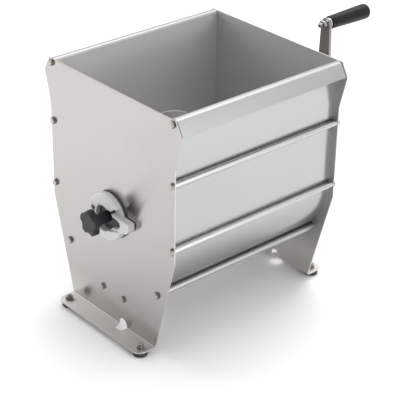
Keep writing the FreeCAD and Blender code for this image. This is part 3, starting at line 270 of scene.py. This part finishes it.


# in_base is painted light inside the tank, flank is painted light on the flange, cut edges and foot, and REAR's leg
# is painted light on its inner face below the tank
FRONT = steel("front_plate_steel", (0.442, 0.425, 0.414), 0.20, (1400, 1400, 40), spread=0.035, rough_spread=0.035,
              bump=0.06, blotch=0.012, aniso=0.92, across=(1, 0, 0), inside=True, inward=(0, 1, 0),
              in_base=(0.66, 0.66, 0.65), flank=((0.61, 0.59, 0.565), 0.42))
REAR = steel("rear_plate_steel", (0.47, 0.462, 0.453), 0.30, (1400, 1400, 40), spread=0.035, rough_spread=0.035, bump=0.06,
             blotch=0.012, aniso=0.6, across=(1, 0, 0), inside=True, inward=(0, -1, 0), in_base=(0.60, 0.60, 0.595),
             flank=((0.61, 0.59, 0.565), 0.42), leg=(0.79, 0.775, 0.745))
# in_base is painted light inside the tank, under is painted shade on the faces that look down, and rim darkens the
# fold with painted shade
WRAP = steel("tank_steel", (0.450, 0.450, 0.446), 0.22, (1400, 40, 1400), spread=0.03, rough_spread=0.03, bump=0.05,
             blotch=0.012, bevel=0.0004, aniso=0.3, across="Y", inside=True, in_base=(0.69, 0.69, 0.69),
             under=(0.290, 0.290, 0.290), rim=(0.365, 0.400, 0.22, (0.385, 0.385, 0.385)))
ROD = steel("rod_steel", (0.52, 0.52, 0.515), 0.26, (700, 12, 700), spread=0.05, bump=0.06, bevel=0)
# a darker copy of the rod steel for the rods under the tank: painted shade
ROD_PAINTED_SHADE = steel("rod_steel_painted_shade", (0.40, 0.40, 0.40), 0.34, (700, 12, 700), spread=0.05, bump=0.06, bevel=0)
# the darker sides colour on bolts, nuts and washers is painted shade on their side faces
BOLT = steel("bolt_steel", (0.42, 0.405, 0.38), 0.26, (900, 900, 900), spread=0.08, rough_spread=0.06, bump=0.12,
             bevel=0.0005, sides=((0, 1, 0), (0.29, 0.28, 0.26)))
NUT = steel("nut_steel", (0.50, 0.49, 0.47), 0.26, (900, 900, 900), spread=0.08, rough_spread=0.06, bump=0.12,
            bevel=0.0005, sides=((0, 0, 1), (0.20, 0.195, 0.18)))
BRIGHT = steel("bright_steel", (0.78, 0.775, 0.765), 0.16, (800, 800, 800), spread=0.04, bump=0.05, bevel=0.0007)
GRIP_NUT = steel("grip_nut_steel", (0.66, 0.655, 0.64), 0.22, (900, 900, 900), spread=0.08, rough_spread=0.05, bump=0.10,
                 bevel=0.0005, sides=((0, 0, 1), (0.20, 0.195, 0.185)))
ARM = steel("arm_steel", (0.20, 0.19, 0.175), 0.34, (900, 900, 16), spread=0.06, bump=0.12, bevel=0.0006,
            sides=((0, 1, 0), (0.27, 0.265, 0.25)))
SHAFT = steel("shaft_steel", (0.62, 0.62, 0.615), 0.27, (500, 1500, 500), spread=0.03, rough_spread=0.025, bump=0.05,
              blotch=0.015, smear=0.02)
BLADE = steel("blade_steel", (0.70, 0.70, 0.695), 0.33, (60, 900, 900), spread=0.06, bump=0.10)
CASE = steel("case_steel", (0.50, 0.495, 0.485), 0.36, (900, 900, 40), spread=0.05, bump=0.10)
CASEP = steel("case_plate_steel", (0.48, 0.475, 0.47), 0.34, (900, 900, 60), spread=0.05, bump=0.10)
GEAR = steel("gear_steel", (0.50, 0.49, 0.475), 0.36, (300, 1800, 300), spread=0.10, bump=0.15, smear=0.12)
KEY = steel("key_steel", (0.55, 0.55, 0.55), 0.32, (900, 200, 900), spread=0.06)
SPRING = steel("ring_steel", (0.30, 0.30, 0.31), 0.38, (700, 700, 700), spread=0.08)
DARK = steel("dark_screw", (0.20, 0.20, 0.21), 0.40, (900, 900, 900), spread=0.10, bevel=0.0004)
BRASS = steel("bush_brass", (0.78, 0.58, 0.30), 0.28, (500, 1600, 500), spread=0.06)
CAP = plastic("cap_plastic", (0.67, 0.67, 0.655), 0.38, wear=0.05, tone=0.03, bevel=0.0012)
BEARING = plastic("bearing_plastic", (0.74, 0.74, 0.72), 0.45, wear=0.05, tone=0.03)
KNOB = plastic("knob_plastic", (0.019, 0.019, 0.023), 0.46, spec=0.36, wear=0.06, tone=0.10, bevel=0.0012)
GRIP = plastic("grip_plastic", (0.006, 0.006, 0.0065), 0.38, wear=0.03, tone=0.10, bevel=0.0008, spec=0.22)
RUBBER = plastic("foot_rubber", (0.030, 0.030, 0.031), 0.62, grain=900, bump=0.25, wear=0.12, tone=0.15)
# the insert's dark grey is partly its own colour and partly painted shade that stands in for the shade in the cap's
# slot
INSERT_PAINTED_SHADE = plastic("insert_plastic", (0.062, 0.060, 0.060), 0.5, wear=0.05, tone=0.10, bevel=0.0008)
GASKET = plastic("cap_seal_rubber", (0.20, 0.20, 0.195), 0.6, grain=900, bump=0.2)
SEAL = plastic("seal_rubber", (0.035, 0.035, 0.036), 0.55, grain=900, bump=0.2)

for node, mat in {
    "front_plate": FRONT, "rear_plate": REAR, "tank_wrapper": WRAP,
    "top_tie_rods": ROD, "side_tie_rods": ROD, "lower_tie_rods": ROD_PAINTED_SHADE,
    "front_tie_bolts": BOLT, "rear_tie_bolts": BOLT,
    "rubber_feet": RUBBER, "foot_studs": NUT, "foot_nuts": NUT, "foot_washers": NUT,
    "front_cap": CAP, "cap_insert": INSERT_PAINTED_SHADE, "cap_seal": GASKET, "cap_screw": DARK,
    "front_knob": KNOB, "pivot_screw": SHAFT,
    "paddle_shaft": SHAFT, "paddle_bush": BRASS, "paddle_arms": SHAFT, "paddle_blades": BLADE,
    "rear_bearing": BEARING, "rear_bush": BRASS, "rear_seal": SEAL, "bearing_screws": BOLT,
    "gear_plate": CASEP, "gear_cover": CASE, "cover_screws": BOLT, "plate_bush": BRASS, "crank_bush": BRASS,
    "drive_gear": GEAR, "pinion": GEAR, "drive_shaft": SHAFT, "drive_key": KEY, "drive_ring": SPRING,
    "pinion_shaft": SHAFT, "pinion_key": KEY, "crank_arm": ARM, "crank_washer": BOLT, "crank_screw": BOLT,
    "grip_stud": GRIP_NUT, "grip_nut": GRIP_NUT, "grip_washer": GRIP_NUT, "grip_collar": BRIGHT, "grip": GRIP,
}.items():
    give(node, mat)

WELD = steel("weld_steel", (0.40, 0.375, 0.34), 0.38, (500, 500, 500), spread=0.18, rough_spread=0.10, bump=0.30,
             bevel=0, smear=0.10)


# ---------------------------------------------------------------- small pieces
def piece(name, verts, faces, mat, body, slot, smooth=True):
    """A closed mesh in metres that rides on a body."""
    bm = bmesh.new()
    vs = [bm.verts.new(v) for v in verts]
    for f in faces:
        bm.faces.new([vs[i] for i in f])
    bmesh.ops.recalc_face_normals(bm, faces=bm.faces)
    me = bpy.data.meshes.new(name)
    bm.to_mesh(me)
    bm.free()
    for p in me.polygons:
        p.use_smooth = smooth
    me.materials.append(mat)
    ob = bpy.data.objects.new(name, me)
    scene.collection.objects.link(ob)
    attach(ob, body)
    return ob


def loft(rings, closed=False):
    """Vertices and faces of a skin over rings of equal count, closed into a loop or capped at both ends."""
    n = len(rings[0])
    verts = [v for ring in rings for v in ring]
    faces = []
    last = len(rings) if closed else len(rings) - 1
    for i in range(last):
        a, b = i * n, ((i + 1) % len(rings)) * n
        for j in range(n):
            k = (j + 1) % n
            faces.append((a + j, a + k, b + k, b + j))
    if not closed:
        faces.append(tuple(range(n)))
        faces.append(tuple(range((len(rings) - 1) * n, len(rings) * n)))
    return verts, faces


def thread(name, foot, axis, radius, length, pitch, height, mat, body, slot):
    """The ridge of a screw thread, sunk a little into its shank."""
    axis = Vector(axis)
    u = axis.orthogonal().normalized()
    v = axis.cross(u)
    turns = (length - 0.9 * pitch) / pitch
    steps = int(turns * 28)
    rings = []
    for i in range(steps + 1):
        t = i / steps
        ang = 2 * math.pi * turns * t
        fade = min(1.0, t * steps / 7.0, (1 - t) * steps / 7.0)
        out = u * math.cos(ang) + v * math.sin(ang)
        mid = Vector(foot) + axis * (0.45 * pitch + pitch * turns * t)
        crest = radius + height * fade
        base = radius - 0.12e-3
        rings.append([mid - axis * 0.42 * pitch + out * base, mid - axis * 0.07 * pitch + out * crest,
                      mid + axis * 0.07 * pitch + out * crest, mid + axis * 0.42 * pitch + out * base])
    piece(name, *loft(rings), mat, body, slot, smooth=False)


def bead(name, path, outward, size, ripple, mat, body, slot):
    """A weld run round a closed path, with the overlapping scales a welder leaves."""
    n = len(path)
    rings = []
    for i, p in enumerate(path):
        p = Vector(p)
        along = (Vector(path[(i + 1) % n]) - Vector(path[i - 1])).normalized()
        out = Vector(outward[i])
        out = (out - along * out.dot(along)).normalized()
        side = along.cross(out)
        phase = (i * ripple / n) % 1.0
        r = size * (0.86 + 0.20 * math.sin(math.pi * phase) ** 0.6 + 0.03 * math.sin(9.7 * i))
        rings.append([tuple(p + out * (r * math.cos(a)) + side * (r * 1.15 * math.sin(a)))
                      for a in [2 * math.pi * j / 10 for j in range(10)]])
    piece(name, *loft(rings, closed=True), mat, body, slot)


for k, (x, y) in enumerate(((-0.090, -0.229), (0.090, -0.229), (-0.090, 0.138), (0.090, 0.138))):
    thread("foot_thread_%d" % (k + 1), (x, y, 0.0172), (0, 0, 1), 0.0030, 0.0020, 0.0009, 0.00030, NUT, "frame",
           "bolt_steel")
thread("grip_stud_thread", (0.065, 0.1510, 0.4295), (0, 1, 0), 0.0040, 0.0038, 0.0011, 0.00035, GRIP_NUT, "crank",
       "bolt_steel")

# welds round the root of each paddle arm
SHAFT_Z, SHAFT_R, ARM_R = 0.197, 0.0125, 0.007
for k, (y, turn) in enumerate(((-0.1575, 9.5), (-0.0795, 99.5), (-0.0055, 279.5), (0.0665, 189.5))):
    a = math.radians(turn)
    reach, across = Vector((math.cos(a), 0, math.sin(a))), Vector((-math.sin(a), 0, math.cos(a)))
    path, outs = [], []
    for i in range(120):
        t = 2 * math.pi * i / 120
        r = ARM_R + 0.0005
        u, v = r * math.cos(t), r * math.sin(t)
        d = math.sqrt(SHAFT_R ** 2 - u ** 2) + 0.0004
        path.append(Vector((0, y + v, SHAFT_Z)) + across * u + reach * d)
        outs.append(across * math.cos(t) + Vector((0, math.sin(t), 0)) + reach)
    bead("arm_weld_%d" % (k + 1), path, outs, 0.0017, 22, WELD, "paddle", "bolt_steel")

# fine ribs along the upper side of the cap's finger wing
for k, d in enumerate((0.0060, 0.0078, 0.0096, 0.0114)):
    rings = []
    for i in range(25):
        t = i / 24
        x = 0.0200 + 0.0330 * t
        z = SHAFT_Z + 0.0128 - 0.0575 * (x - 0.012)
        y = -0.2105 - d
        h = 0.00045 * min(1.0, t * 8, (1 - t) * 8)
        rings.append([(x, y + 0.00042, z - 0.0002), (x, y + 0.00016, z + h), (x, y - 0.00016, z + h),
                      (x, y - 0.00042, z - 0.0002)])
    piece("wing_rib_%d" % (k + 1), *loft(rings), CAP, "cap", "cap_plastic")

# parting line left by the mould on both sides of the grip
GX, GZ = 0.065, 0.4295
profile = {}
for v in NODES["grip"].data.vertices:
    y = round(v.co.y, 4)
    profile[y] = max(profile.get(y, 0.0), math.hypot(v.co.x - GX, v.co.z - GZ))
stations = [(y, r) for y, r in sorted(profile.items()) if r > 0.0095]
for k, side in enumerate((-1, 1)):
    rings = []
    for y, r in stations:
        rings.append([(GX + side * (r - 0.0004), y, GZ - 0.00050), (GX + side * (r + 0.00016), y, GZ - 0.00012),
                      (GX + side * (r + 0.00016), y, GZ + 0.00012), (GX + side * (r - 0.0004), y, GZ + 0.00050)])
    piece("grip_seam_%d" % (k + 1), *loft(rings), GRIP, "grip_sleeve", "grip_plastic")

# ---------------------------------------------------------------- camera
SHIFT_Y = -0.198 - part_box("front_plate")[0][1]          # the tank's middle is this far in front of y = 0
AZ, EL, ROLL = math.radians(48.24343), math.radians(28.56542), math.radians(0.99084)
back = Vector((math.sin(AZ) * math.cos(EL), -math.cos(AZ) * math.cos(EL), math.sin(EL)))
right = Vector((math.cos(AZ), math.sin(AZ), 0.0))
up = back.cross(right)
r2 = right * math.cos(ROLL) + up * math.sin(ROLL)
u2 = up * math.cos(ROLL) - right * math.sin(ROLL)
target = Vector((0.0143372, -SHIFT_Y, 0.403 - 0.2324919))
cam_data = bpy.data.cameras.new("camera")
cam_data.sensor_width = 36.0
cam_data.lens = 1358.896 * 36.0 / 400.0
cam_data.clip_end = 60.0
cam = bpy.data.objects.new("camera", cam_data)
place = target + back * 2.1384969
cam.matrix_world = Matrix((
    (r2.x, u2.x, back.x, place.x),
    (r2.y, u2.y, back.y, place.y),
    (r2.z, u2.z, back.z, place.z),
    (0, 0, 0, 1)))
scene.collection.objects.link(cam)
scene.camera = cam

# ---------------------------------------------------------------- floor and light
floor_mesh = bpy.data.meshes.new("floor")
bm = bmesh.new()
bmesh.ops.create_grid(bm, x_segments=1, y_segments=1, size=8.0)
bm.to_mesh(floor_mesh)
bm.free()
floor = bpy.data.objects.new("floor", floor_mesh)
scene.collection.objects.link(floor)
fm = bpy.data.materials.new("floor")
fm.use_nodes = True
fb = fm.node_tree.nodes["Principled BSDF"]
fb.inputs["Base Color"].default_value = (0.92, 0.92, 0.92, 1)
fb.inputs["Roughness"].default_value = 0.9
fb.inputs["Specular IOR Level"].default_value = 0.1
floor_mesh.materials.append(fm)

SKY_LOW, SKY_HIGH = 0.52, 1.30
world = bpy.data.worlds.new("world")
scene.world = world
world.use_nodes = True
wt = world.node_tree
bg = wt.nodes["Background"]
w_tc = wt.nodes.new("ShaderNodeTexCoord")
w_dot = wt.nodes.new("ShaderNodeVectorMath")
w_dot.operation = "DOT_PRODUCT"
w_dot.inputs[1].default_value = (0.10, 0.50, 0.86)
w_map = wt.nodes.new("ShaderNodeMapRange")
w_map.inputs["From Min"].default_value = 0.0
w_map.inputs["From Max"].default_value = 1.0
w_map.inputs["To Min"].default_value = SKY_LOW
w_map.inputs["To Max"].default_value = SKY_HIGH
wt.links.new(w_tc.outputs["Generated"], w_dot.inputs[0])
wt.links.new(w_dot.outputs["Value"], w_map.inputs["Value"])
wt.links.new(w_map.outputs[0], bg.inputs["Strength"])
bg.inputs["Color"].default_value = (1.0, 1.0, 1.0, 1)


def area(name, place, aim, size, power, size_y=None, colour=(1, 1, 1)):
    data = bpy.data.lights.new(name, "AREA")
    data.energy = power
    data.color = colour
    data.size = size
    if size_y:
        data.shape = "RECTANGLE"
        data.size_y = size_y
    ob = bpy.data.objects.new(name, data)
    ob.location = place
    ob.rotation_mode = "QUATERNION"
    ob.rotation_quaternion = (Vector(aim) - Vector(place)).to_track_quat("-Z", "Y")
    scene.collection.objects.link(ob)
    return ob


area("overhead", (-0.5, 0.9, 2.7), (0, 0, 0.2), 2.2, 44.0)
area("side_fill", (1.6, 0.36, 0.55), (0.0, 0.0, 0.02), 1.2, 7.0)
area("left_fill", (-1.5, -0.45, 0.8), (0.0, -0.2, 0.15), 1.0, 7.0)
pool = bpy.data.lights.new("floor_pool", "SPOT")
pool.energy = 24.0
pool.spot_size = math.radians(38)
pool.spot_blend = 1.0
pool.shadow_soft_size = 0.25
pool_ob = bpy.data.objects.new("floor_pool", pool)
pool_ob.location = (-0.62, -0.92, 1.4)
scene.collection.objects.link(pool_ob)
under_data = bpy.data.lights.new("under_tank", "SPOT")
under_data.energy = 0.055
under_data.spot_size = math.radians(110)
under_data.spot_blend = 1.0
under_data.shadow_soft_size = 0.012
under_ob = bpy.data.objects.new("under_tank", under_data)
under_ob.location = (0.012, -0.178, 0.056)
scene.collection.objects.link(under_ob)

scene.cycles.use_denoising = True
scene.cycles.max_bounces = 12
scene.cycles.glossy_bounces = 12
